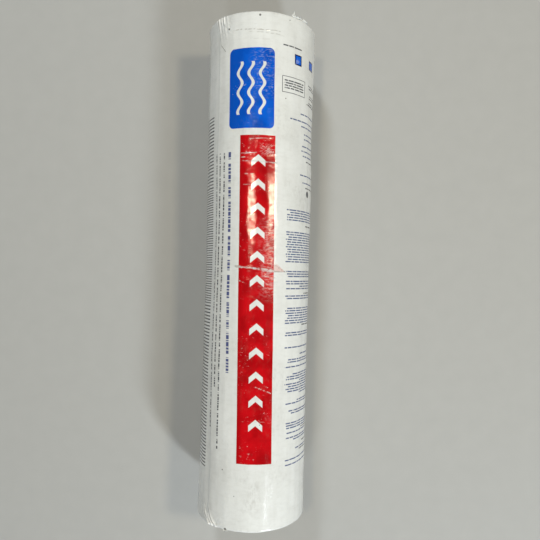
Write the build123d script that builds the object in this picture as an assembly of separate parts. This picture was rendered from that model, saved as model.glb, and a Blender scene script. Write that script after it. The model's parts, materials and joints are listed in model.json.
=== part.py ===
from build123d import *
import os

# A roll of bitumen roofing sheet, lying on its side, in its printed plastic wrapper.
# Millimetres. The roll's axis runs along Y, +Z is up, and the origin is on the floor,
# straight below the middle of the roll.

# The sheet and how it is wound
SHEET_WIDTH = 914.0
SHEET_THICKNESS = 1.4
RELEASE_LINER_THICKNESS = 0.1
TURNS = 50
BORE_DIAMETER = 50.0

# The edges of the wound sheet, seen on both ends of the roll
RIM_BEVEL = 2.5
TURN_GROOVE_WIDTH = 0.6
TURN_GROOVE_DEPTH = 1.0

# The wrapper: a sleeve drawn tight round the barrel and shrunk over the rims
WRAPPER_THICKNESS = 0.2
WRAPPER_LIP = 44.0

# Worked out from the values above
TURN_PITCH = SHEET_THICKNESS + RELEASE_LINER_THICKNESS
BORE_RADIUS = BORE_DIAMETER / 2
WOUND_RADIUS = BORE_RADIUS + TURNS * TURN_PITCH
WRAPPED_RADIUS = WOUND_RADIUS + WRAPPER_THICKNESS
LIP_INNER_RADIUS = WOUND_RADIUS - WRAPPER_LIP
END_Y = SHEET_WIDTH / 2


def lying(turned_solid):
    """Moves a solid that was turned about the Y axis up onto the floor."""
    return Pos(0, 0, WRAPPED_RADIUS) * turned_solid


def turned(points):
    """Turns a closed outline, drawn with X as the radius, all the way round the Y axis."""
    return revolve(make_face(Polyline(*points, close=True)), Axis.Y, 360)


def mirrored(points):
    """The same points at the other end of the roll, in the opposite order."""
    return [(radius, -y) for radius, y in reversed(points)]


def turn_edges():
    """The open middle of the far end: a groove between each turn and the next."""
    exposed = int((LIP_INNER_RADIUS - BORE_RADIUS) / TURN_PITCH)
    points = [(BORE_RADIUS, END_Y)]
    for turn in range(1, exposed + 1):
        between = BORE_RADIUS + turn * TURN_PITCH
        points.append((between - TURN_GROOVE_WIDTH / 2, END_Y))
        points.append((between, END_Y - TURN_GROOVE_DEPTH))
        points.append((between + TURN_GROOVE_WIDTH / 2, END_Y))
    return points


def bevelled_rim(radius, end_y, bevel):
    """The far rim of a barrel of this radius, with its corner taken off."""
    return [(radius - bevel, end_y), (radius, end_y - bevel)]


def felt_roll():
    """The wound sheet as one turned solid with its bore, its turns grooved into both ends."""
    far_half = turn_edges() + bevelled_rim(WOUND_RADIUS, END_Y, RIM_BEVEL)
    return lying(turned(far_half + mirrored(far_half)))


def wrapper_film():
    """The printed sleeve: a thin shell round the barrel, its lips shrunk flat onto both ends."""
    film_end_y = END_Y + WRAPPER_THICKNESS
    inside = [(LIP_INNER_RADIUS, END_Y)] + bevelled_rim(WOUND_RADIUS, END_Y, RIM_BEVEL)
    outside = [(LIP_INNER_RADIUS, film_end_y)] + bevelled_rim(WRAPPED_RADIUS, film_end_y, RIM_BEVEL)
    far_lip = list(reversed(inside)) + outside
    return lying(turned(far_lip + mirrored(far_lip)))


def main():
    os.makedirs("parts", exist_ok=True)
    export_step(felt_roll(), "parts/felt_roll.step")
    export_step(wrapper_film(), "parts/wrapper_film.step")


main()
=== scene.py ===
import json
import math
from functools import partialmethod, reduce

import bmesh
import bpy
import numpy as np

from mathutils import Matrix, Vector


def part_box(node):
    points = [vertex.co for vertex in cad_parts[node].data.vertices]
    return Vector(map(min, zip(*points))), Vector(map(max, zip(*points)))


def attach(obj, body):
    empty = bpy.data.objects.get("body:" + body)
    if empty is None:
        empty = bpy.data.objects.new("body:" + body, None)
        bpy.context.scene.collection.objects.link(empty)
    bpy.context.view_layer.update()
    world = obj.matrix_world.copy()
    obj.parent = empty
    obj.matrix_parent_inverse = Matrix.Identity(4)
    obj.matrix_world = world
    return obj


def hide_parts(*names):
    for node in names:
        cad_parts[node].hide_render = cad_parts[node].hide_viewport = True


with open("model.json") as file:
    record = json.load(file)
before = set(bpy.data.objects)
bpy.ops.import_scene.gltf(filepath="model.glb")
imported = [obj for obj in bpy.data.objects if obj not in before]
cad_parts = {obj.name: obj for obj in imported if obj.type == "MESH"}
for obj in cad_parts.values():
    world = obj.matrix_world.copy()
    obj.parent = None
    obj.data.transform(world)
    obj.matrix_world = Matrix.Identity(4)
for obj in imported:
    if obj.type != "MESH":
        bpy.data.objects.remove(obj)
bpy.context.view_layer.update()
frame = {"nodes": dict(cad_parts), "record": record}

MM = 0.001

# The roll's own sizes, read from the frame. The axis runs along Y. Angles round it are
# measured from the top of the roll towards +X, and an arc is an angle times the radius.
film_low, film_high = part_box("wrapper_film")
felt_low, felt_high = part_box("felt_roll")
FILM_RADIUS = (film_high.x - film_low.x) / 2
FELT_RADIUS = (felt_high.x - felt_low.x) / 2
AXIS_Z = (film_high.z + film_low.z) / 2
FILM_END = film_high.y
FELT_END = felt_high.y
FILM_THICKNESS = FILM_RADIUS - FELT_RADIUS
BORE_RADIUS = frame["record"]["mounts"][0]["dims"]["r_mm"] * MM
LIP_RADIUS = min(
    math.hypot(corner.co.x, corner.co.z - AXIS_Z)
    for corner in frame["nodes"]["wrapper_film"].data.vertices
)
ROUND = 2 * math.pi * FILM_RADIUS


# Uneven surfaces

def bell(distance, width):
    """1 at distance 0, falling smoothly to nothing within about two widths."""
    return np.exp(-((distance / width) ** 2))


def ease(value, low, high):
    """0 below low, 1 above high, smooth between."""
    share = np.clip((value - low) / (high - low), 0, 1)
    return share * share * (3 - 2 * share)


def stretch(value, first, last, fade):
    """1 from first to last and 0 outside, with edges fading over twice that much."""
    return ease(value, first - fade, first + fade) * (1 - ease(value, last - fade, last + fade))


def off_floor(angle, reach):
    """1 round the roll, but falling to 0 where it rests, within about that many degrees."""
    return 1 - bell(np.abs(angle) - math.pi, math.radians(reach))


def ripples(seed, around, along, waves=48):
    """Smooth random unevenness of about unit height, seamless round the roll.

    around and along are the usual spacings of its crests round the roll and along it."""
    rng = np.random.default_rng(seed)
    turns = np.rint(rng.normal(0, ROUND / around, waves))
    pace = rng.normal(0, 2 * math.pi / along, waves)
    phase = rng.uniform(0, 2 * math.pi, waves)

    def height(angle, y):
        total = np.zeros(np.broadcast(angle, y).shape)
        for turn, rate, start in zip(turns, pace, phase):
            total += np.cos(turn * angle + rate * y + start)
        return total * math.sqrt(2 / waves)

    return height


def pleats(seed, count, spread, waves=14):
    """Narrow raised folds, about count of them round the roll, from 0 between folds to 1."""
    rng = np.random.default_rng(seed)
    turns = np.rint(rng.normal(count, spread, waves))
    phase = rng.uniform(0, 2 * math.pi, waves)

    def height(angle):
        total = np.zeros(np.shape(angle))
        for turn, start in zip(turns, phase):
            total += np.cos(turn * angle + start)
        return np.clip(1 - np.abs(total) / 3.2, 0, 1) ** 2

    return height


def new_object(name, data, place=(0, 0, 0), turn=(0, 0, 0)):
    """A new object in the scene."""
    made = bpy.data.objects.new(name, data)
    made.location = place
    made.rotation_euler = turn
    bpy.context.scene.collection.objects.link(made)
    return made


def new_piece(name, points, faces, uv):
    """A mesh piece of the roll, smooth shaded, with the place on the film or sheet as its UV."""
    mesh = bpy.data.meshes.new(name)
    mesh.from_pydata([tuple(point) for point in points], [], [list(face) for face in faces])
    layer = mesh.uv_layers.new(name="place")
    layer.data.foreach_set("uv", np.asarray(uv, dtype=np.float32).ravel())
    mesh.shade_smooth()
    piece = new_object(name, mesh)
    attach(piece, "root")
    return piece


# The printed film

RIM_FOLD = 3.6 * MM
RIM_STEPS = 4
LIP_STEPS = 15

# The film's inner face: its depth on the barrel, and every so many of the outer face's rows
LINING_DEPTH = 0.9 * MM
LINING_EVERY = 30

# The free edge of the sheet's outermost turn, a step under the film: its place, its height,
# where its slope starts and ends, and how soon the film comes down again
SHEET_TAIL_ANGLE = math.radians(-48.5)
SHEET_TAIL_STEP = 1.1 * MM
SHEET_TAIL_SLOPE = (-1.5 * MM, 3 * MM)
SHEET_TAIL_FADE = 90 * MM

# Random unevenness: seed, and the usual spacing of its crests round the roll and along it
lumps = ripples(11, 160 * MM, 260 * MM)
ridges = ripples(12, 30 * MM, 520 * MM)
dents = ripples(13, 64 * MM, 60 * MM)
crinkles = ripples(14, 34 * MM, 9 * MM)
crinkle_patches = ripples(15, 70 * MM, 110 * MM)
rim_pleats = pleats(16, 58, 15)
lip_pleats = pleats(17, 34, 10)
lip_waves = ripples(18, 110 * MM, 60 * MM)
crumple = ripples(19, 9 * MM, 8 * MM)
crease_breaks = ripples(24, 10 * MM, 30 * MM)

# The wound roll under the film is waisted on its left side: the angle there, the reach round the
# roll in degrees, and the depth. It has a dent: angle, reach, y, half length and depth.
WAIST = (-85, 50, 2.1 * MM)
DENT = (-62, 24, 70 * MM, 130 * MM, 2.3 * MM)
LUMP_HEIGHT = 0.28 * MM

# How high the film's own unevenness stands on the barrel, and how deep it may go
RIDGE_HEIGHT = 0.20 * MM
DENT_HEIGHT = 0.16 * MM
CRUMPLE_HEIGHT = 0.34 * MM
CRINKLE_HEIGHT = 0.10 * MM
RIM_PLEAT_HEIGHT = 0.10 * MM
RIM_PLEAT_REACH = 13 * MM
DEEPEST = -0.6 * MM

# On the ends: the waves and pleats of the fold at the rim, and on the lips the puckers, higher
# towards the edge, the waves, and how ragged the edge is
FOLD_WAVE = 0.45 * MM
FOLD_PLEAT = 0.5 * MM
PUCKERS = (0.4, 3)
LIP_WAVE = 0.35 * MM
LIP_RAGGED = 2.2 * MM

# Calm places, where the film lies smoother, and how much smoother. These and the crumpled spots
# have an arc, y, and half sizes round the roll and along it, in mm.
CALM_PLACES = ((8, 80, 32, 120), (30, -390, 24, 70))
CALMING = 0.7

# Folds where the film was gathered beside its lap, at the far end and at the near end:
# place from the lap at the roll's end, width and height in mm
FAR_FOLDS = (
    (-9.5, 1.6, 1),
    (-2.6, 1.8, 2.6),
    (4.6, 1.3, 1.6),
    (10.5, 1.5, 1.8),
    (17.5, 1.7, 0.9),
)
NEAR_FOLDS = (
    (9, 1.7, 1.2),
    (16.2, 2, 2.9),
    (23.6, 1.7, 2.4),
    (31.5, 1.9, 1.9),
)
# The far folds lean by this for each mm from the end. The near ones curve away by this times
# the root of those mm.
FAR_LEAN = 0.19
NEAR_CURVE = -5.25
# How far from the end the folds reach, and the lines along them, pale on the ridges for doubled
# film with a painted highlight and dark with painted shade in the grooves, and the height from
# which a fold has those lines in full, in mm
FOLD_REACH = 27 * MM
FOLD_LINE_REACH = 24 * MM
FULL_FOLD = 2.2

# Crumpled spots beside the folds
CRUMPLED = (
    (-70, 438, 15, 17),
    (-63, -449, 13, 9),
    (-92, -436, 12, 18),
)

# Creases across the roll: y, slope, first and last arc, width and height, in mm
CREASES = (
    (424, -0.055, -52, 4, 1.1, 0.50),
    (424, 0.00, 0, 36, 1.1, 0.40),
    (419.6, -0.05, -24, 42, 1, 0.38),
    (408, 0.02, -20, 18, 1.3, 0.22),
    (234, 0.05, -18, 25, 1, 0.60),
    (209, 0.04, -31, -3, 1.1, 1.00),
    (201, 0.00, -31, -14, 1, 0.70),
    (193.5, -0.04, -31, 32, 1.1, 0.95),
    (185.5, 0.03, -22, 4, 1, 0.60),
    (172, 0.00, -28, -4, 0.9, 0.50),
    (153, 0.00, -28, -12, 0.9, 0.50),
    (6, -0.09, -36, 32, 1.8, 1.15),
    (-26.2, -0.36, -31, -19, 1.1, 0.80),
    (32.7, -0.59, 29, 52, 1.1, 0.80),
    (2, -0.02, 12, 56, 1, 0.80),
    (-4.5, -0.16, 10, 40, 1.2, 0.50),
    (-199.8, -0.40, 4, 34, 1.1, 0.85),
    (-190.5, -0.45, 14, 28, 1, 0.65),
    (-263, 0.00, -22, 24, 1, 0.35),
)
# How a crease fades out at both ends, what is left of it where it is broken, and the height from
# which ink flakes off it, the bare film with a painted glint, and dirt and painted shade line it
CREASE_FADE = 4 * MM
BROKEN_CREASE = 0.35
SHARP_CREASE = 0.46 * MM
# Where the rows of the film's mesh stand closer for them: y and half a width, in mm
CREASED_PLACES = ((234, 3), (198, 14), (172, 2.5), (153, 2.5), (3, 12),
                  (-17, 4), (-206, 10), (-263, 2.5))

# Flats, where the film is pulled straight across: first and last arc, and first and last y
FLATS = ((-16.4, -0.9, 50, 200), (21, 34.5, -70, 176))
FLAT_FADE = 9 * MM

# The columns of the film's mesh are this far apart at the lap, on the seen side and underneath,
# and its rows at the rims, at the creases and elsewhere
LAP_COLUMNS, SEEN_COLUMNS, UNDER_COLUMNS = 1.1 * MM, 3 * MM, 5.4 * MM
RIM_ROWS, CREASE_ROWS, PLAIN_ROWS = 1.3 * MM, 1.1 * MM, 3.9 * MM
LAP_ZONE = (-29 * MM, 33 * MM)
SEEN_ANGLE = math.radians(105)
RIM_ZONE = 42 * MM


def roll_shape(angle, y):
    """How far the wound roll stands proud of a true cylinder, but not where it rests."""
    middle, reach, depth = WAIST
    waist = depth * (1.8 * (y / FELT_END) ** 2 - 0.62)
    waist = waist * bell(angle - math.radians(middle), math.radians(reach))
    middle, reach, along, half_length, depth = DENT
    dent = depth * bell(angle - math.radians(middle), math.radians(reach))
    dent = dent * bell(y - along, half_length)
    return off_floor(angle, 40) * (waist + LUMP_HEIGHT * lumps(angle, y) - dent)


def past_tail(angle):
    """How far round the roll a place lies past the free edge of the sheet."""
    return (angle - SHEET_TAIL_ANGLE) * FILM_RADIUS


def tail_step(angle):
    """The outermost turn's free edge, felt through the film as a low step."""
    past = past_tail(angle)
    fade = np.exp(-np.clip(past, 0, None) / SHEET_TAIL_FADE)
    return SHEET_TAIL_STEP * ease(past, *SHEET_TAIL_SLOPE) * fade


def folds_beside_lap(angle, y, reach):
    """Each fold beside the lap: how strong it is here, fading within that reach of the roll's
    end, how far off its middle line is, its width, and its height in mm."""
    from_end = np.maximum(FELT_END - np.abs(y), 0)
    curve = NEAR_CURVE * MM * np.sqrt(from_end / MM)
    for side, folds, run in ((1, FAR_FOLDS, FAR_LEAN * from_end), (-1, NEAR_FOLDS, curve)):
        here = np.where(y * side > 0, bell(from_end, reach), 0)
        for place, width, height in folds:
            yield here, past_tail(angle) - place * MM - run, width * MM, height


def lap_folds(angle, y):
    """Sharp folds beside the film's lap, where it was gathered at both ends of the roll."""
    folds = folds_beside_lap(angle, y, FOLD_REACH)
    return sum(height * MM * here * bell(off, width) for here, off, width, height in folds)


def fold_lines(angle, y):
    """Two fields from 0 to 1: the ridges of the folds beside the lap, for doubled film and a
    painted highlight, and the grooves by them, for painted shade.
    """
    ridge = np.zeros(np.broadcast(angle, y).shape)
    groove = np.zeros(ridge.shape)
    for here, off, width, height in folds_beside_lap(angle, y, FOLD_LINE_REACH):
        share = here * min(height / FULL_FOLD, 1)
        # Each ridge sits a little to one side of its fold, where the painted highlight falls
        ridge = np.maximum(ridge, share * bell(off - 0.35 * width, 1.1 * width))
        groove = np.maximum(groove, share * bell(off + 2 * width, width))
    return ridge, groove


def spots(angle, y, places):
    """Soft spots on the film, 1 in the middle of each."""
    arc = angle * FILM_RADIUS
    return sum(
        bell(arc - place * MM, wide * MM) * bell(y - along * MM, long * MM)
        for place, along, wide, long in places
    )


def creases(angle, y):
    """The creases that run across the roll, broken here and there."""
    arc = angle * FILM_RADIUS
    total = sum(
        height * MM * stretch(arc, first * MM, last * MM, CREASE_FADE)
        * bell(y - place * MM - slope * arc, width * MM)
        for place, slope, first, last, width, height in CREASES
    )
    whole = ease(crease_breaks(angle, y), -0.9, 0.5)
    return total * (BROKEN_CREASE + (1 - BROKEN_CREASE) * whole)


def flats(angle, y):
    """How far the film falls short of its round where it is pulled flat."""
    arc = angle * FILM_RADIUS
    return sum(
        np.clip((arc - first * MM) * (last * MM - arc), 0, None) / (2 * FILM_RADIUS)
        * stretch(y, low * MM + FLAT_FADE, high * MM - FLAT_FADE, FLAT_FADE)
        for first, last, low, high in FLATS
    )


def film_height(angle, y):
    """How far the film stands off its true radius on the barrel, wrinkles and all."""
    calm = 1 - CALMING * spots(angle, y, CALM_PLACES)
    height = calm * (RIDGE_HEIGHT * ridges(angle, y) + DENT_HEIGHT * dents(angle, y))
    crumpled = np.clip(spots(angle, y, CRUMPLED), 0, 1)
    height = height + CRUMPLE_HEIGHT * crumpled * crumple(angle, y) - flats(angle, y)
    patches = ease(crinkle_patches(angle, y), -0.2, 1.4)
    height = height + CRINKLE_HEIGHT * patches * crinkles(angle, y)
    near_rim = bell(FELT_END - np.abs(y), RIM_PLEAT_REACH)
    height = height + RIM_PLEAT_HEIGHT * near_rim * rim_pleats(angle)
    height = height + tail_step(angle) + lap_folds(angle, y) + creases(angle, y)
    return np.maximum(height, DEEPEST) * off_floor(angle, 14)


def strain(angle, y):
    """How sharply the film is creased, or lies in a groove by a fold, from 0 to 1: ink flakes
    there, the bare film with a painted glint, and it takes dirt and painted shade.
    """
    return np.clip(creases(angle, y) / SHARP_CREASE + fold_lines(angle, y)[1], 0, 1)


def spaced(start, stop, spacing):
    """Places from start to stop, about spacing(place) apart, both ends included."""
    places = [start]
    while places[-1] < stop:
        places.append(places[-1] + spacing(places[-1]))
    places = np.array(places)
    return start + (places - start) * (stop - start) / (places[-1] - start)


def column_spacing(angle):
    """Columns of the film's mesh stand closer at the lap and on the seen side."""
    if LAP_ZONE[0] < past_tail(angle) < LAP_ZONE[1]:
        return LAP_COLUMNS / FILM_RADIUS
    return (SEEN_COLUMNS if abs(angle) < SEEN_ANGLE else UNDER_COLUMNS) / FILM_RADIUS


def row_spacing(y):
    """Rows of the film's mesh stand closer at the rims and at the creases."""
    if FELT_END - abs(y) < RIM_ZONE:
        return RIM_ROWS
    for place, half in CREASED_PLACES:
        if abs(y - place * MM) < half * MM:
            return CREASE_ROWS
    return PLAIN_ROWS


def film_rows():
    """The film's section from one lip to the other.

    Each row has its radius, y, outward normal (radial and along Y), its place along the
    film, and how far over the end it lies: 0 on the barrel, 1 at the lip's edge."""
    rim_y = FILM_END - RIM_FOLD
    flat_radius = FILM_RADIUS - RIM_FOLD
    barrel = [(FILM_RADIUS, y, 1, 0, y, 0) for y in spaced(-rim_y, rim_y, row_spacing)]
    far = []
    for turn in np.radians(np.linspace(0, 90, RIM_STEPS + 1)[1:]):
        radius = flat_radius + RIM_FOLD * math.cos(turn)
        y = rim_y + RIM_FOLD * math.sin(turn)
        far.append((radius, y, math.cos(turn), math.sin(turn), rim_y + RIM_FOLD * turn, 0))
    for step in range(1, LIP_STEPS + 1):
        share = step / LIP_STEPS
        radius = flat_radius + (LIP_RADIUS - flat_radius) * share
        along = rim_y + RIM_FOLD * math.pi / 2 + flat_radius - radius
        far.append((radius, FILM_END, 0, 1, along, share))
    mirror = np.array([1, -1, 1, -1, -1, 1])
    return np.concatenate([np.array(far)[::-1] * mirror, np.array(barrel), np.array(far)])


def film_face(rows, angles, sunk=0):
    """Radius and y of the film's face at every row and angle, sunk inwards by that much."""
    radius, y, normal_r, normal_y, _, share = (column[:, None] for column in rows.T)
    angle = angles[None, :]
    end = np.sign(y)
    barrel_y = np.clip(y, RIM_FOLD - FELT_END, FELT_END - RIM_FOLD)
    stand = film_height(angle, barrel_y) * normal_r
    puckers = lip_pleats(angle + 0.5 * share * end) * (PUCKERS[0] + PUCKERS[1] * share ** 1.2) * MM
    sway = lip_waves(angle, end * radius) * LIP_WAVE * share
    pleated = ease(lip_waves(angle, end * 0.3), 0.4, 1.2)
    near_fold = FOLD_WAVE * lip_waves(angle, end * FILM_RADIUS)
    near_fold = near_fold + FOLD_PLEAT * rim_pleats(angle) * pleated
    over_end = np.where(share > 0, puckers * ease(share, 0.02, 0.35) + sway, 0) + near_fold
    over_end = np.maximum(over_end, 0)
    ragged = lip_waves(angle, end * 0.5) * LIP_RAGGED * share ** 2
    face_r = radius + roll_shape(angle, barrel_y) * radius / FILM_RADIUS
    face_r = face_r + (stand - sunk) * normal_r + ragged
    face_y = y + (stand + over_end - sunk) * normal_y
    return face_r, face_y


def lining_face(lining, angles):
    """Radius and y of the film's inner face, which lies deeper on the barrel."""
    radius, y = film_face(lining, angles, FILM_THICKNESS)
    on_barrel = lining[:, 5] == 0
    deep = lining[:, :1] - LINING_DEPTH + roll_shape(angles[None, :], lining[:, 1:2])
    radius[on_barrel] = np.minimum(radius, deep)[on_barrel]
    return radius, y


def around_axis(radius, y, angles):
    """Points at these radii and heights along the roll, at each angle."""
    x = radius * np.sin(angles)
    z = AXIS_Z + radius * np.cos(angles)
    return np.stack([x, np.broadcast_to(y, x.shape), z], axis=-1)


def ring_quads(rows, columns, first=0):
    """Quads between each row and the next, closed on itself round the roll."""
    row, column = np.meshgrid(np.arange(rows - 1), np.arange(columns), indexing="ij")
    after = (column + 1) % columns
    corners = [row * columns + column, row * columns + after]
    corners += [(row + 1) * columns + after, (row + 1) * columns + column]
    return np.stack(corners, axis=-1).reshape(-1, 4) + first


def film_uv(quads, first, arcs, along):
    """The place of each quad's corners on the film: round the roll and along it, in metres."""
    local = quads - first
    column = local % len(arcs)
    wraps = (column.max(axis=1) == len(arcs) - 1) & (column.min(axis=1) == 0)
    arc = arcs[column] + np.where(wraps[:, None] & (column == 0), ROUND, 0)
    return np.stack([arc, along[local // len(arcs)]], axis=-1)


def store_on_points(piece, name, values, count):
    """Stores values for the first points of a piece, and 0 for the rest of its points."""
    stored = np.zeros(count)
    stored[:values.size] = values.ravel()
    layer = piece.data.attributes.new(name, "FLOAT", "POINT")
    layer.data.foreach_set("value", stored)


def make_wrapper():
    """The printed film: a closed thin shell, wrinkled, with its lips puckered over the ends."""
    angles = spaced(-math.pi, math.pi, column_spacing)[:-1]
    arcs = angles * FILM_RADIUS
    columns = len(angles)
    rows = film_rows()
    on_barrel = np.abs(rows[:, 1]) < FELT_END - 5 * MM
    kept = ~on_barrel
    kept[np.flatnonzero(on_barrel)[::LINING_EVERY]] = True
    lining = rows[kept]
    outer_r, outer_y = film_face(rows, angles)
    inner_r, inner_y = lining_face(lining, angles)
    outer = around_axis(outer_r, outer_y, angles).reshape(-1, 3)
    inner = around_axis(inner_r, inner_y, angles).reshape(-1, 3)
    points = np.concatenate([outer, inner])

    first = len(outer)
    outside = ring_quads(len(rows), columns)
    inside = ring_quads(len(lining), columns, first)
    column = np.arange(columns)
    after = (column + 1) % columns
    top = (len(rows) - 1) * columns
    inner_top = first + (len(lining) - 1) * columns
    near_edge = np.stack([first + column, first + after, after, column], axis=-1)
    far_edge = np.stack([top + column, top + after, inner_top + after, inner_top + column], axis=-1)
    faces = np.concatenate([outside, inside[:, ::-1], near_edge, far_edge])

    edge_uv = np.zeros((2 * columns, 4, 2))
    edge_uv[:columns, :, 1] = rows[0, 4]
    edge_uv[columns:, :, 1] = rows[-1, 4]
    uv_outside = film_uv(outside, 0, arcs, rows[:, 4])
    uv_inside = film_uv(inside, first, arcs, lining[:, 4])[:, ::-1]
    piece = new_piece("wrapper", points, faces, np.concatenate([uv_outside, uv_inside, edge_uv]))

    on_film_y = np.clip(rows[:, 1:2], -FELT_END, FELT_END)
    store_on_points(piece, "strain", strain(angles[None, :], on_film_y), len(points))
    # The fold ridges, painted whiter for doubled film and a painted highlight
    store_on_points(piece, "doubled_and_highlight", fold_lines(angles[None, :], on_film_y)[0], len(points))
    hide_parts("wrapper_film")
    return piece


# The wound sheet

TURN_PITCH = 1.5 * MM
TURN_STEPS = 144
# The turns show on the ends as far as a little past the edge of the film's lip
SPIRAL_TURNS = math.ceil((LIP_RADIUS + 5 * MM - BORE_RADIUS) / TURN_PITCH)
# How far the winding keeps clear of the film's inner face, on the barrel and under the lips
CLEAR_OF_FILM = 1.2 * MM

# Across the edge of one turn, in mm: how far out, and how far below the roll's end
SHEET_EDGE = ((0, -1.1), (0.08, -0.18), (0.30, 0), (1.10, 0), (1.36, -0.16))

# How the turns stray: along the roll, together and one by one, and outwards where they are
# loose, near the bore. All of them lie a little deep, and the loose ones deeper.
turn_drift = ripples(21, 190 * MM, 7 * MM)
turn_jitter = ripples(22, 60 * MM, 1.7 * MM)
turn_sway = ripples(23, 240 * MM, 14 * MM)
TURN_DRIFT = 0.40 * MM
TURN_JITTER = 0.22 * MM
TURN_SWAY = 0.5 * MM
SUNK = 0.3 * MM
LOOSE_SUNK = 0.9 * MM
# Far enough apart in the random unevenness for both ends of the roll to differ
ENDS_APART = 3


def turn_place(angle, wound, side):
    """How a turn strays at this end of the roll: outwards, and along the roll."""
    looseness = 1 - wound / (SPIRAL_TURNS * TURN_PITCH + TURN_PITCH)
    place = wound + side * ENDS_APART
    stray = TURN_SWAY * looseness * turn_sway(angle, place)
    height = TURN_DRIFT * turn_drift(angle, place) + TURN_JITTER * turn_jitter(angle, place)
    under_lip = ease(wound + BORE_RADIUS, LIP_RADIUS - 7 * MM, LIP_RADIUS - 1 * MM)
    return stray, height * (1 - under_lip) - LOOSE_SUNK * looseness ** 2 - SUNK


def winding_section(angle):
    """The closed section of the winding at one angle: radius, y, place across a turn, and turn.

    Where no edge of a turn shows, the place across a turn is its middle, 0.5."""
    section = []
    for side in (1, -1):
        end = []
        for turn in range(SPIRAL_TURNS + 1):
            wound = TURN_PITCH * (turn + angle / (2 * math.pi))
            stray, height = turn_place(angle + 2 * math.pi * turn, wound, side)
            last = turn == SPIRAL_TURNS
            for outward, below in SHEET_EDGE[:1] if last else SHEET_EDGE:
                radius = BORE_RADIUS + wound + outward * MM + stray
                y = side * (FELT_END + height + below * MM)
                end.append((radius, y, outward * MM / TURN_PITCH, turn))
        rim_radius = FELT_RADIUS - RIM_FOLD - 2 * MM
        end.append((rim_radius, side * (FELT_END - CLEAR_OF_FILM), 0.5, turn))
        section += end if side > 0 else end[::-1]
        if side > 0:
            for y in np.linspace(FELT_END - RIM_FOLD, RIM_FOLD - FELT_END, 13):
                radius = FELT_RADIUS - CLEAR_OF_FILM + float(roll_shape(signed(angle), y))
                section.append((radius, y, 0.5, 0))
    bore_radius, bore_y = section[0][:2]
    for y in np.linspace(-bore_y, bore_y, 9)[1:-1]:
        section.append((bore_radius, y, 0.5, 0))
    return section


def signed(angle):
    """The same angle, between minus and plus half a turn."""
    return (angle + math.pi) % (2 * math.pi) - math.pi


def make_winding():
    """The wound sheet: at both ends its edge spirals out from the bore."""
    angles = 2 * math.pi * np.arange(TURN_STEPS + 1) / TURN_STEPS
    sections = np.array([winding_section(angle) for angle in angles])
    points = around_axis(sections[:, :, 0], sections[:, :, 1], angles[:, None]).reshape(-1, 3)

    # A turn's edge starts at 0, where the one before it ends at 1, and next to a plain place
    # it starts at 0.5
    here, turn = sections[:-1, :, 2], sections[:-1, :, 3]
    there = np.roll(here, -1, axis=1)
    starts, ends = (here == 0) & (there >= 0.5), (there == 0) & (here > 0.5)
    here = np.where(starts, np.where(there > 0.5, 1, 0.5), here)
    there = np.where(ends, 1, there)
    u = turn + np.arange(TURN_STEPS)[:, None] / TURN_STEPS
    u_after = u + 1 / TURN_STEPS
    uv = np.stack([u, here, u, there, u_after, there, u_after, here], axis=-1)
    piece = new_piece("winding", points, ring_quads(TURN_STEPS + 1, sections.shape[1]), uv)

    shape = bmesh.new()
    shape.from_mesh(piece.data)
    bmesh.ops.remove_doubles(shape, verts=shape.verts, dist=0.002 * MM)
    open_edges = [edge for edge in shape.edges if edge.is_boundary]
    bmesh.ops.holes_fill(shape, edges=open_edges, sides=0)
    bmesh.ops.recalc_face_normals(shape, faces=shape.faces)
    shape.to_mesh(piece.data)
    shape.free()
    piece.data.set_sharp_from_angle(angle=math.radians(50))
    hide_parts("felt_roll")
    return piece


# Materials, written as sums on fields: values that vary over a surface

def new_node(tree, kind, inputs=(), **settings):
    """A new node, its inputs fed with fields, other nodes' outputs or plain values."""
    node = tree.nodes.new("ShaderNode" + kind)
    for name, value in settings.items():
        setattr(node, name, value)
    for place, value in inputs:
        feed(tree, value, node.inputs[place])
    return node


def feed(tree, value, socket):
    """Links a field or an output to a node's input, or sets the input to a plain value."""
    value = getattr(value, "socket", value)
    if isinstance(value, bpy.types.NodeSocket):
        tree.links.new(value, socket)
    else:
        socket.default_value = value


class Field:
    """A value that varies over a surface: an output of a node in a material."""

    def __init__(self, tree, socket):
        self.tree = tree
        self.socket = socket

    def math(self, operation, *others):
        inputs = enumerate((self, *others))
        return Field(self.tree, new_node(self.tree, "Math", inputs, operation=operation).outputs[0])

    __add__ = partialmethod(math, "ADD")
    __sub__ = partialmethod(math, "SUBTRACT")
    __mul__ = partialmethod(math, "MULTIPLY")
    times_add = partialmethod(math, "MULTIPLY_ADD")
    highest = partialmethod(math, "MAXIMUM")
    lowest = partialmethod(math, "MINIMUM")
    absolute = partialmethod(math, "ABSOLUTE")
    floor = partialmethod(math, "FLOOR")
    fract = partialmethod(math, "FRACT")
    root = partialmethod(math, "SQRT")
    sine = partialmethod(math, "SINE")

    def opposite(self):
        """One minus this."""
        return self.times_add(-1, 1)

    def rise(self, low, high):
        """0 below low and 1 above high, smooth between, or falling where low is above high."""
        inputs = (("Value", self), ("From Min", low), ("From Max", high))
        node = new_node(self.tree, "MapRange", inputs, interpolation_type="SMOOTHSTEP")
        return Field(self.tree, node.outputs["Result"])

    def between(self, low, high, soft):
        """1 between low and high, with edges this soft."""
        return self.rise(low - soft, low + soft) * self.rise(high + soft, high - soft)

    def near(self, half, soft):
        """1 within half of 0 on either side, with edges this soft."""
        return self.absolute().rise(half + soft, half - soft)


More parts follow.
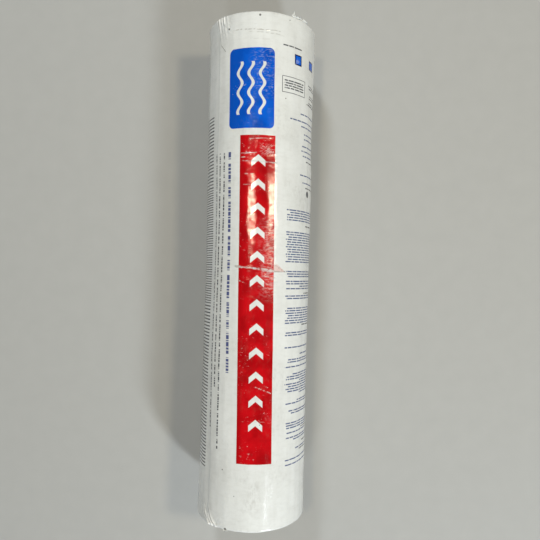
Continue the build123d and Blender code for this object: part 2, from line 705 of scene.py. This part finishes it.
class Surface:
    """A material in the making, with the fields and colours that it is worked out from."""

    def __init__(self, name):
        self.material = bpy.data.materials.new(name)
        self.material.use_nodes = True
        self.tree = self.material.node_tree
        self.shader = self.tree.nodes["Principled BSDF"]

    def place(self):
        """Where a point lies on the film or sheet: across and along, as two fields."""
        place = new_node(self.tree, "UVMap", uv_map="place").outputs["UV"]
        split = new_node(self.tree, "SeparateXYZ", [(0, place)])
        return Field(self.tree, split.outputs[0]), Field(self.tree, split.outputs[1])

    def attribute(self, name):
        """A value stored with the mesh."""
        node = new_node(self.tree, "Attribute", attribute_name=name)
        return Field(self.tree, node.outputs["Fac"])

    def position(self):
        """The point itself, in metres."""
        return new_node(self.tree, "TexCoord").outputs["Object"]

    def vector(self, x, y):
        """A vector of two fields or numbers."""
        return new_node(self.tree, "CombineXYZ", enumerate((x, y))).outputs[0]

    def noise(self, vector, scale, detail=2, roughness=0.5, distortion=0):
        """Soft noise from 0 to 1, mostly between 0.3 and 0.7, with scale waves to a metre."""
        inputs = (("Vector", vector), ("Scale", scale), ("Detail", detail),
                  ("Roughness", roughness), ("Distortion", distortion))
        return Field(self.tree, new_node(self.tree, "TexNoise", inputs).outputs["Fac"])

    def chance(self, vector):
        """A random value from 0 to 1, the same wherever the vector is the same."""
        node = new_node(self.tree, "TexWhiteNoise", noise_dimensions="2D")
        feed(self.tree, vector, node.inputs["Vector"])
        return Field(self.tree, node.outputs["Value"])

    def mix(self, share, first, second):
        """The first colour where share is 0, and the second where it is 1."""
        inputs = ((0, share), (6, first), (7, second))
        return new_node(self.tree, "Mix", inputs, data_type="RGBA").outputs[2]

    def bump(self, height, distance, strength):
        """The surface's normal, tilted by the slope of a height."""
        inputs = (("Strength", strength), ("Distance", distance), ("Height", height))
        return new_node(self.tree, "Bump", inputs).outputs["Normal"]

    def finish(self, colour, roughness, normal=None, **settings):
        """Connects what varies, and sets on the shader itself what is the same all over."""
        feed(self.tree, colour, self.shader.inputs["Base Color"])
        if normal is not None:
            feed(self.tree, normal, self.shader.inputs["Normal"])
        feed(self.tree, roughness, self.shader.inputs["Roughness"])
        for name, value in settings.items():
            socket = name.replace("_", " ").title().replace("Ior", "IOR")
            feed(self.tree, value, self.shader.inputs[socket])
        return self.material


def srgb(red, green, blue):
    """A colour as it looks on screen, 0 to 255, as the linear values that nodes take."""
    linear = []
    for value in (red, green, blue):
        share = value / 255
        linear.append(share / 12.92 if share <= 0.04045 else ((share + 0.055) / 1.055) ** 2.4)
    return (*linear, 1)


FILM_WHITE = srgb(231, 233, 232)
FILM_GREY = srgb(210, 211, 208)
# Doubled film on the fold ridges, and also a painted highlight
FOLD_WHITE_AND_HIGHLIGHT = srgb(252, 252, 250)
PINK_SMEAR = srgb(226, 182, 176)
BLUE_INK = srgb(0, 95, 214)
BLUE_DEEP = srgb(0, 78, 186)
RED_INK = srgb(202, 6, 18)
RED_DEEP = srgb(166, 0, 8)
RULE_INK = srgb(52, 72, 124)
HEADING_INK = srgb(26, 46, 118)
NOTE_INK = srgb(26, 28, 48)
SQUARE_INK = srgb(4, 26, 84)
# Dirt, and also painted shade in the creases and in the grooves by the folds
GRIME_AND_SHADE = srgb(120, 113, 100)
SPECK = srgb(52, 48, 44)

# The print, in mm: across the roll from its middle line, and along it. It lies slightly askew.
PRINT_SKEW = 0.0135
PRINT_MIDDLE_Y = -49
PRINT_OFFSET = 1
BLUE_PANEL = (-53, 29.5, 252, 393)
RED_BAND = (-30.5, 32.3, -337.5, 240)
SQUARES = ((69.5, 86.5, 372.5, 391.5), (112.5, 131, 376, 393))
LISTING_BOX = (44.5, 97, 320, 348)
# A round mark: its middle and its radius
MARK = (115.5, 145.5, 6)
# How soft the edges of print are
EDGE = 0.4
PANEL_EDGE = 0.35
BAR_EDGE = 0.3
FRAME_EDGE = 0.25

# The row of chevrons: its middle line, half its width, first y, pitch and count, the slope of
# their arms, and where in each pitch they start and end
CHEVRONS = (2.6, 12.3, 208, 42.25, 12, 0.85, 0.30, 0.56)
# The wavy lines: the middle of the first, their pitch, thickness, height and wave length, and
# how far inside the panel they end
WAVES = (-32, 20, 5.4, 4, 34, 24)
# The heading's place, its first and last y, and its thickness
HEADING = (-50.5, -180, 212, 5.4)
# Three lines of notes: the edge before the first, their pitch and thickness, where they start,
# where the first ends, how much sooner each next one ends, and the second besides
NOTES = (-59.8, 10.4, 3, 211, -318, 16, 90)
# How much more askew the print left of the heading lies, and the y at which it is in place
LEFT_SKEW = 0.0145
LEFT_SKEW_Y = 60

# Punctures and spots: arc from the top, y and radius in mm
PUNCTURES = (
    (-3, 450, 2.2), (-43, -455, 2.6), (-61, 431, 1.8), (47.4, 308.5, 1.2),
    (-52, -352, 1.3), (14, -268, 0.9), (52, 448, 1), (-28, -395, 0.9),
    (52.5, 2, 1.3), (24.5, 115, 1),
)
# How far noise shakes their outlines
SPOT_SHAKE = 1.6 * MM
# A smear of red ink beside the band, three-cornered: its first and last place across, the y of
# its lower side, and its height, in mm
PINK_CORNER = (32, 54, 1, 19)
# A scratch: its slope, where it starts, and its first and last arc in mm
SCRATCH = (1.25, 307.5, -79, -68)
# Where the wear of the ink starts and is full: the red is rubbed from the left, from below and
# from above, and the blue is scraped from the left and from below
RUBBED = ((-4, 24), (-60, -20), (110, 66))
SCRAPED = ((-20, 8), (296, 330))
# Where the red is cracked all over, and where both inks get darker, towards the left
CRACKED = (6, 32, 206, 223)
DARKER_LEFTWARD = (-16, -30)
# A dirty smear, its arcs and y, and how soft it is
SMEAR = (-10, 20, -424, -368)
SMEAR_EDGE = 16
# Where the rims' dirt starts, is full, thins and ends, and where the lips' wrinkles start and
# are full, from the middle of the roll
RIM_DIRT = (449, 459, 462, 474)
LIP_WRINKLES = (460, 466)

# Small print: the pitch and thickness of its rows, how ragged their starts are, where they end,
# and the length of a word and of the gap after it
ROW_PITCH = 4.4
ROW_THICKNESS = 2.2
RAGGED_START = 8
ROWS_END = 150
WORD, WORD_GAP = 13, 1.5
DATE_ROW = (44, 87, 400, 404.5)
# The column of ticks on the left. Between these two y its ticks stand a row apart, and outside
# them further apart, with this share of the ticks left out.
TICK_COLUMN = (-172, -98.5, -360, 282)
EVEN_TICKS = (-60, 150)
TICKS_LEFT_OUT = 0.28
# The blocks of rows on the right: the y of the lowest row, the number of rows, and where they
# start. Past HEADING_START they are headings in darker ink. NO_ROWS stands for no block. One
# colour ramp has room for so many blocks.
HEADING_START = 98
NO_ROWS = 200
BLOCKS_IN_A_RAMP = 14
BLOCKS = (
    (-346, 1, 57), (-335, 1, 57), (-325.5, 1, 100), (-320, 1, 86), (-310, 1, 105),
    (-303.5, 1, 73), (-298, 1, 60), (-288, 1, 56), (-283.5, 1, 100), (-279, 3, 60),
    (-252.5, 2, 67), (-237.5, 1, 60), (-233, 1, 82), (-218, 1, 95), (-213, 4, 57),
    (-194, 1, 95), (-189.5, 2, 57), (-180.5, 1, 68), (-171, 1, 57), (-161.5, 2, 58),
    (-146.5, 1, 95), (-132.5, 1, 56), (-113.5, 2, 56), (-94.5, 1, 100), (-89.5, 7, 56),
    (-44.5, 2, 55), (-36, 1, 105), (-30.5, 1, 55), (-26, 1, 91), (-21.5, 2, 56),
    (-7, 3, 56), (22, 13, 55), (87, 1, 104), (93, 5, 56),
    (157, 1, 107), (164.5, 1, 96), (177, 1, 88), (205, 1, 107), (211.5, 1, 95),
    (224, 1, 90), (230.5, 1, 93), (244.5, 1, 96), (251, 1, 94), (268, 1, 89),
    (277, 1, 60), (286.5, 1, 80), (308, 1, 104), (314, 1, 111), (324, 1, 115),
    (330, 1, 112), (340, 1, 113), (346, 1, 110),
)


def panel(across, along, sides, soft=PANEL_EDGE):
    """1 inside a rectangle of the print."""
    left, right, low, high = sides
    return across.between(left, right, soft) * along.between(low, high, soft)


def outside_by(across, along, sides, corner=0):
    """How far a place lies outside a rectangle with that much taken off each side."""
    left, right, low, high = sides
    beyond_x = (across - (left + right) / 2).absolute() - ((right - left) / 2 - corner)
    beyond_y = (along - (low + high) / 2).absolute() - ((high - low) / 2 - corner)
    return beyond_x, beyond_y


def rounded_panel(across, along, sides, corner):
    """1 inside a rectangle with rounded corners."""
    beyond_x, beyond_y = outside_by(across, along, sides, corner)
    beyond_x, beyond_y = beyond_x.highest(0), beyond_y.highest(0)
    reach = (beyond_x * beyond_x + beyond_y * beyond_y).root()
    return reach.rise(corner + PANEL_EDGE, corner - PANEL_EDGE)


def thin_frame(across, along, sides, thickness=1.1):
    """1 on the outline of a rectangle."""
    beyond_x, beyond_y = outside_by(across, along, sides)
    return beyond_x.highest(beyond_y).near(thickness / 2, FRAME_EDGE)


def bars(lines, pitch, thickness, count):
    """1 on each of count bars, one in the middle of each whole step of lines."""
    bar = (lines.fract() - 0.5).near(thickness / 2 / pitch, BAR_EDGE / pitch)
    return bar * lines.between(0, count, 0.01)


def word_bars(surface, row, place, word, gap, seed):
    """1 on bars of word length along a row, with a gap somewhere in every cell."""
    cells = surface.chance(surface.vector(row, seed)).times_add(7, 0) + place * (1 / word)
    hole = surface.chance(surface.vector(cells.floor(), row + seed)).times_add(0.84, 0.08)
    return (cells.fract() - hole).absolute().rise(gap / word * 0.35, gap / word * 0.65)


def block_starts(surface, row):
    """The arc at which the rows of each block start, and NO_ROWS between blocks."""
    starts = []
    for first in range(0, len(BLOCKS), BLOCKS_IN_A_RAMP):
        spans = []
        for y, count, start in BLOCKS[first:first + BLOCKS_IN_A_RAMP]:
            lowest = round(y / ROW_PITCH - 0.5)
            spans.append((lowest, lowest + count, start))
        low, high = spans[0][0] - 1, spans[-1][1] + 1
        place = row.times_add(1 / (high - low), (0.5 - low) / (high - low))
        ramp = new_node(surface.tree, "ValToRGB", [(0, place)])
        ramp.color_ramp.interpolation = "CONSTANT"
        stops = ramp.color_ramp.elements
        stops[0].color = (1, 1, 1, 1)
        stops.remove(stops[1])
        for number, (lowest, past, start) in enumerate(spans):
            share = start / NO_ROWS
            stops.new((lowest - low) / (high - low)).color = (share, share, share, 1)
            if number + 1 == len(spans) or spans[number + 1][0] > past:
                stops.new((past - low) / (high - low)).color = (1, 1, 1, 1)
        starts.append(Field(surface.tree, ramp.outputs["Color"]))
    return reduce(Field.lowest, starts) * NO_ROWS


def small_print(surface, across, left_across, along):
    """Rows of word-length bars in place of small print: the pale, and the dark with the ticks."""
    rows = along * (1 / ROW_PITCH)
    row = rows.floor()
    level = row.times_add(ROW_PITCH, ROW_PITCH / 2)
    short = surface.chance(surface.vector(row, 3.5))
    starts = block_starts(surface, row)
    from_start = short * short * -RAGGED_START + across - starts
    right = from_start.rise(-EDGE, EDGE) * across.rise(ROWS_END + EDGE, ROWS_END - EDGE)
    headings = starts.rise(HEADING_START - 0.5, HEADING_START + 0.5)
    left, right_side, low, high = LISTING_BOX
    dark = panel(across, level, DATE_ROW)
    dark = dark.highest(panel(across, level, (left + 4, right_side - 4, low + 4, high - 6)))
    half = ROW_THICKNESS / ROW_PITCH / 2
    line = (rows.fract() - 0.5).near(half, 0.05)
    bar = line * word_bars(surface, row, across, WORD, WORD_GAP, 3)
    even = along.highest(EVEN_TICKS[0]).lowest(EVEN_TICKS[1])
    tick = ((along - even).times_add(1 - TICKS_LEFT_OUT, even) * (1 / ROW_PITCH)).fract()
    tick = (tick - 0.5).near(half - 0.05, 0.05)
    ticks = panel(left_across, along, TICK_COLUMN) * tick
    return right * headings.opposite() * bar, (dark.highest(right * headings) * bar).highest(ticks)


def heading_bars(surface, across, along):
    """One line of word-length bars along the roll, in place of a heading."""
    place, low, high, thickness = HEADING
    bar = (across - place).near(thickness / 2, EDGE) * along.between(low, high, EDGE)
    bar = bar * word_bars(surface, 1, along, 6.6, 1.6, 22)
    return bar * word_bars(surface, 1, along, 40, 6, 21)


def note_bars(surface, across, along):
    """Three thin lines of word-length bars along the roll."""
    edge, pitch, thickness, top, bottom, sooner, second_sooner = NOTES
    lines = across.times_add(-1 / pitch, edge / pitch)
    line = lines.floor()
    bar = bars(lines, pitch, thickness, 3) * along.rise(top + EDGE, top - EDGE)
    second = (line - 1).absolute().opposite().highest(0)
    ended = second * -second_sooner + line * -sooner + along
    bar = bar * ended.rise(bottom - EDGE, bottom + EDGE)
    bar = bar * word_bars(surface, line, along, 4.6, 1.1, 25)
    return bar * word_bars(surface, line, along, 25, 3.8, 23)


def punctures(surface, u, v):
    """1 on the punctures and spots, with outlines shaken a little."""
    shake = surface.noise(surface.vector(u, v), 900, 1) * SPOT_SHAKE
    place = surface.vector(shake + u, shake + v)
    found = []
    for x, y, radius in PUNCTURES:
        middle = (x * MM + SPOT_SHAKE / 2, y * MM + SPOT_SHAKE / 2, 0)
        inputs = enumerate((place, middle))
        node = new_node(surface.tree, "VectorMath", inputs, operation="DISTANCE")
        distance = Field(surface.tree, node.outputs["Value"])
        found.append(distance.rise(radius * MM * 1.15, radius * MM * 0.6))
    return reduce(Field.highest, found)


def chevrons(across, along):
    """A row of plain chevrons along the red band."""
    middle, half_width, start, pitch, count, slope, low, high = CHEVRONS
    aside = (across - middle).absolute()
    place = (aside * slope + along).times_add(-1 / pitch, start / pitch + 0.25)
    inside = place.between(0, count, 0.01) * aside.rise(half_width + EDGE, half_width - EDGE)
    return inside * place.fract().between(low, high, 0.012)


def waves(across, along):
    """Three wavy lines along the blue panel."""
    first, pitch, thickness, height, length, margin = WAVES
    low, high = BLUE_PANEL[2:]
    sway = (along * (2 * math.pi / length)).sine() * height
    lines = (sway + across).times_add(1 / pitch, 0.5 - first / pitch)
    return bars(lines, pitch, thickness, 3) * along.between(low + margin, high - margin, EDGE)


def film_material():
    """White polythene film with its print, wear and dirt, and painted shade and painted highlights
    along its creases and folds.
    """
    # The places and the kinds of wear that the layers below share
    film = Surface("printed_film")
    u, v = film.place()
    here = film.position()
    along = v * 1000
    arc = u * 1000
    askew = -PRINT_SKEW * PRINT_MIDDLE_Y - PRINT_OFFSET
    across = along.times_add(PRINT_SKEW, askew) + arc
    from_middle = v.absolute() * 1000
    red = panel(across, along, RED_BAND)
    slow = film.noise(here, 9, 3)
    patches = film.noise(here, 20, 2)
    mottle = film.noise(here, 60, 4, 0.62)
    creased = film.attribute("strain")
    crumpled = film.noise(film.vector(u * 0.8, v), 190, 3, 0.6, 0.6)
    cracks = (crumpled - 0.5).absolute().rise(0, 0.22)
    left, right, low, high = CRACKED
    cracked = across.between(left, right, 4) * along.between(low, high, 5)
    from_left, from_below, from_above = RUBBED
    rubbed = across.rise(*from_left) * along.rise(*from_below)
    rubbed = rubbed * along.rise(*from_above)

    def white_with_small_print():
        """The colour of the bare film, and of all the print but the two big panels."""
        left_across = along.times_add(-LEFT_SKEW, LEFT_SKEW * LEFT_SKEW_Y) + across
        text, dark_text = small_print(film, across, left_across, along)
        heading = heading_bars(film, across, along)
        notes = note_bars(film, left_across, along)
        notes = notes.highest(dark_text).highest(thin_frame(across, along, LISTING_BOX))
        x, y, radius = MARK
        round_mark = (x - radius, x + radius, y - radius, y + radius)
        notes = notes.highest(rounded_panel(across, along, round_mark, radius))
        squares, frames = (
            shape(across, along, SQUARES[0], edge).highest(shape(across, along, SQUARES[1], edge))
            for shape, edge in ((panel, PANEL_EDGE), (thin_frame, 4.6))
        )

        streaks = film.noise(film.vector(u, v * 0.10), 70, 3, 0.6)
        flecks = film.noise(film.vector(u * 0.4, v), 150, 3, 0.6)
        shade = slow.rise(0.35, 0.68) * 0.30 + streaks.rise(0.42, 0.75) * 0.24
        shade = shade + mottle.rise(0.40, 0.72) * 0.20 + flecks.rise(0.45, 0.70) * 0.20
        colour = film.mix(shade, FILM_WHITE, FILM_GREY)
        worn = mottle.rise(0.70, 0.60).times_add(0.35, 0.65)
        colour = film.mix(text * worn * 0.92, colour, RULE_INK)
        colour = film.mix(heading * worn * 0.90, colour, HEADING_INK)
        colour = film.mix(squares * worn, colour, film.mix(frames, BLUE_INK, SQUARE_INK))
        return film.mix(notes * worn * 0.92, colour, NOTE_INK)

    def ink_left():
        """Where the big panels keep their ink, which is scuffed, rubbed and scraped, cracked, and
        worn off along creases, where the bare film also makes a painted glint.
        """
        ink_wear = film.noise(film.vector(u * 0.42, v), 300, 5, 0.70, 0.4)
        scuffed = ink_wear.rise(0.60, 0.70) * patches.rise(0.48, 0.64) * 0.6
        rubbed_off = rubbed * ink_wear.rise(0.44, 0.62) * 0.34
        from_left, from_below = SCRAPED
        scraped = across.rise(*from_left) * along.rise(*from_below)
        scraped = scraped * ink_wear.rise(0.50, 0.66) * 0.3
        # Ink worn off along the creases: wear, and the bare film there also stands in for a painted
        # glint
        flaked_and_glint = creased.rise(0.4, 1) * ink_wear.rise(0.34, 0.54) * 0.8
        flaked_and_glint = flaked_and_glint.highest(cracked * cracks.rise(0.10, 0) * 0.42)
        return scuffed.highest(rubbed_off).highest(scraped).highest(flaked_and_glint).opposite()

    def with_panels(colour):
        """The colour with the blue panel, the red band and the smear of red ink beside it."""
        kept = waves(across, along).highest(chevrons(across, along)).opposite() * ink_left()
        tone = film.noise(here, 34, 3).rise(0.35, 0.7)
        # Both inks darker towards the band's left side
        tone = tone.highest(across.rise(*DARKER_LEFTWARD) * 0.8)
        blue = rounded_panel(across, along, BLUE_PANEL, 9)
        colour = film.mix(blue * kept, colour, film.mix(tone, BLUE_INK, BLUE_DEEP))
        colour = film.mix(red * kept, colour, film.mix(tone, RED_INK, RED_DEEP))
        left, tip, low, rise = PINK_CORNER
        below = (across - left).times_add(-rise / (tip - left), low + rise) - along
        pink = across.rise(left - 1, left + 1) * below.rise(-0.8, 0.8)
        pink = pink * along.rise(low - 1, low + 1) * mottle.rise(0.30, 0.62) * 0.7
        return film.mix(pink, colour, PINK_SMEAR)

    def dirt_and_painted_shade():
        """Where the film is darker: dirt at the rims, in a smear and in patches, and dirt with
        painted shade in its creases and by its folds.
        """
        start, full, thinner, end = RIM_DIRT
        at_rim = from_middle.rise(start, full) * from_middle.rise(end, thinner)
        at_rim = at_rim * mottle.rise(0.45, 0.75) * 0.5
        smudge = film.noise(film.vector(u, v * 0.6), 130, 5, 0.66)
        smear = panel(arc, along, SMEAR, SMEAR_EDGE) * smudge.rise(0.40, 0.66) * 0.42
        soiled = slow.rise(0.50, 0.72) * smudge.rise(0.44, 0.72) * 0.38
        # Dirt and painted shade along the creases and the grooves by the folds, less on the red
        dirt_and_shade_in_creases = creased.rise(0.2, 0.9) * red.times_add(-0.65, 0.9)
        return at_rim.highest(smear).highest(soiled).highest(dirt_and_shade_in_creases)

    def specked():
        """Dark specks, punctures and the scratch."""
        specks = film.noise(here, 420, 3, 0.6).rise(0.745, 0.775)
        specks = specks * slow.rise(0.46, 0.60)
        slope, start, first, last = SCRATCH
        scratch = (arc * slope + along - start).near(0.6, 0.3)
        scratch = scratch * arc.between(first, last, 1)
        return specks.highest(punctures(film, u, v)).highest(scratch)

    def relief():
        """The film's fine relief: pulled lines, short dashes, and crumpling where it is worn."""
        pulled = film.noise(film.vector(u, v * 0.14), 100, 4, 0.55, 0.2)
        dashes = film.noise(film.vector(u * 0.30, v), 240, 3, 0.6, 0.5)
        worn = rubbed.highest(cracked).highest(patches.rise(0.52, 0.66) * 0.6)
        height = pulled * 0.20 + dashes.rise(0.52, 0.68) * 0.13 + cracks * worn * 0.42
        height = crumpled * worn.times_add(0.5, 0.10) + height
        height = from_middle.rise(*LIP_WRINKLES).times_add(1.6, 1) * height
        return film.bump(height, 0.6 * MM, 0.9)

    colour = with_panels(white_with_small_print())
    dirt_and_shade = dirt_and_painted_shade()
    # Dirt, with painted shade along the creases and folds
    colour = film.mix(dirt_and_shade * 0.55, colour, GRIME_AND_SHADE)
    colour = film.mix(specked() * 0.8, colour, SPECK)
    # Fold ridges painted near white: doubled film, and a painted highlight
    doubled_and_highlight = film.attribute("doubled_and_highlight").rise(0.18, 0.62)
    colour = film.mix(doubled_and_highlight * 0.95, colour, FOLD_WHITE_AND_HIGHLIGHT)
    rough = dirt_and_shade.times_add(0.25, 0) + mottle.times_add(0.10, 0.065)
    return film.finish(colour, rough, relief(), specular_ior_level=0.35)


def bitumen_material():
    """Black bitumen sheet, seen on its edges, with grey sand and a pale liner between turns."""
    surface = Surface("bitumen_sheet")
    u, v = surface.place()
    here = surface.position()
    grains = surface.noise(here, 1500, 3, 0.7)
    patches = surface.noise(here, 70, 3)
    drag = surface.noise(surface.vector(u * 60, v * 1.4), 4, 3)
    by_turn = surface.noise(surface.vector(u, 0), 3.1, 2)
    colour = surface.mix(by_turn.rise(0.36, 0.64), srgb(20, 19, 19), srgb(52, 49, 46))
    colour = surface.mix(patches.rise(0.35, 0.7) * 0.4, colour, srgb(58, 55, 51))
    colour = surface.mix(drag.rise(0.5, 0.75) * 0.5, colour, srgb(66, 63, 59))
    sand = grains.rise(0.55, 0.66) * v.rise(0.42, 0.05).highest(patches.rise(0.55, 0.7) * 0.6)
    colour = surface.mix(sand * 0.75, colour, srgb(128, 123, 114))
    liner = v.between(0.86, 0.955, 0.03) * surface.noise(here, 160, 2).rise(0.38, 0.55)
    colour = surface.mix(liner * 0.9, colour, srgb(186, 188, 186))
    rough = grains.times_add(0.3, 0.42)
    normal = surface.bump(grains + patches * 0.6, 0.35 * MM, 0.7)
    return surface.finish(colour, rough, normal, ior=1.5)


# Torn bits of film at the rims: which end, first and last angle in degrees, columns, how far
# they reach out and how far they lift, and the seed of their teeth
TORN_FILM = {
    "torn_film_far": (1, 32, 54, 19, 5 * MM, 2.5 * MM, 5),
    "torn_spike_far": (1, 32.6, 36.8, 6, 11 * MM, 2 * MM, 4),
    "torn_film_near": (-1, -27, -21, 9, 5 * MM, 2 * MM, 8),
}
TORN_ROWS = 5
TORN_THICKNESS = 0.25 * MM
# How far inside the film's true edge they start, and a bare place on the film for their colour
TORN_ROOT = 0.6 * MM
BARE_ARC = 0.25


def torn_film(name, side, first, last, columns, reach, lift, seed):
    """A torn, curled bit of film that stands out from a rim, and ends in teeth."""
    angles = np.radians(np.linspace(first, last, columns))
    teeth = np.random.default_rng(seed).uniform(0.1, 1, columns) ** 1.5
    teeth = teeth * np.sin(np.linspace(0.12, math.pi - 0.12, columns)) ** 0.5
    curl = 0.6 + 0.5 * np.sin(np.linspace(0, 9, columns) + seed)
    share = np.linspace(0, 1, TORN_ROWS)[:, None]
    radius = FILM_RADIUS - TORN_ROOT + lift * share ** 2 * curl
    y = side * (FELT_END - TORN_ROOT + reach * teeth * share)
    points = around_axis(radius, y, angles).reshape(-1, 3)
    faces = ring_quads(TORN_ROWS, columns).reshape(TORN_ROWS - 1, columns, 4)[:, :-1].reshape(-1, 4)
    piece = new_piece(name, points, faces, [[(BARE_ARC, side * FELT_END)] * 4 for _ in faces])
    shape = bmesh.new()
    shape.from_mesh(piece.data)
    bmesh.ops.solidify(shape, geom=shape.faces[:], thickness=TORN_THICKNESS)
    shape.to_mesh(piece.data)
    shape.free()
    piece.data.shade_smooth()
    return piece


# The picture: floor, world, lamps and camera

FLOOR_SIZE = 14
# How bright the sky is, as light and as seen behind the floor's edge
SKY = 0.12
SEEN_SKY = 0.66

# Lamps: place, the point that each faces, width and length in metres, radiance and colour
WARM = (1, 0.87, 0.62)
COOL = (0.87, 0.95, 1)
LAMPS = (
    ("key_lamp", (1.67, 0.51, 3), (0, 0.05, 0.15), 0.34, 0.40, 66, WARM),
    ("top_lamp", (-0.60, 0.46, 3), (0, 0.1, 0.15), 0.30, 0.30, 56, WARM),
    ("far_lamp", (-0.90, 3.2, 2.6), (0, 0.1, 0.15), 0.56, 0.46, 80, COOL),
    ("near_end_lamp", (1.90, -3, 2.3), (0, -0.1, 0.15), 0.56, 0.46, 122, COOL),
    ("near_left_lamp", (-0.70, -3.2, 2.6), (0, -0.1, 0.15), 0.56, 0.46, 28, COOL),
    ("near_lamp", (1.85, -1.86, 2.9), (0, -0.4, 0.15), 0.30, 0.06, 38, COOL),
)

# The camera looks straight down, turned by this many degrees
PICTURE_WIDTH = 540
FOCAL_PIXELS = 520
SENSOR_WIDTH = 36
CAMERA_PLACE = (0.0255, 0.004, AXIS_Z + 1.01)
CAMERA_TURN = 1.47


def floor_and_world():
    """A plain grey floor, and a plain pale world."""
    bpy.ops.mesh.primitive_plane_add(size=FLOOR_SIZE)
    floor = bpy.context.active_object
    floor.name = "floor"
    surface = Surface("floor")
    speckle = surface.noise(surface.position(), 30, 4)
    colour = surface.mix(speckle, srgb(172, 172, 170), srgb(178, 178, 176))
    floor.data.materials.append(surface.finish(colour, 0.8))

    world = bpy.data.worlds.new("world")
    bpy.context.scene.world = world
    world.use_nodes = True
    tree = world.node_tree
    seen = Field(tree, new_node(tree, "LightPath").outputs["Is Camera Ray"])
    background = tree.nodes["Background"]
    feed(tree, seen.times_add(SEEN_SKY - SKY, SKY), background.inputs["Strength"])
    background.inputs["Color"].default_value = (1, 1, 1, 1)


def lamps():
    """Area lamps, each with its length along the roll."""
    for name, place, target, width, length, radiance, colour in LAMPS:
        data = bpy.data.lights.new(name, "AREA")
        data.color = colour
        data.shape = "RECTANGLE"
        data.size = width
        data.size_y = length
        data.energy = radiance * math.pi * width * length
        aim = Vector(target) - Vector(place)
        new_object(name, data, place, aim.to_track_quat("-Z", "X").to_euler())


def camera():
    """The photo's view: straight down, with the roll's axis up the picture."""
    data = bpy.data.cameras.new("camera")
    data.sensor_width = SENSOR_WIDTH
    data.lens = SENSOR_WIDTH * FOCAL_PIXELS / PICTURE_WIDTH
    turn = (0, 0, math.radians(CAMERA_TURN))
    bpy.context.scene.camera = new_object("camera", data, CAMERA_PLACE, turn)


wrapper = make_wrapper()
winding = make_winding()
torn = [torn_film(name, *sizes) for name, sizes in TORN_FILM.items()]
printed_film = film_material()
for piece in (wrapper, *torn):
    piece.data.materials.append(printed_film)
winding.data.materials.append(bitumen_material())
floor_and_world()
lamps()
camera()
bpy.context.scene.view_settings.view_transform = "Standard"
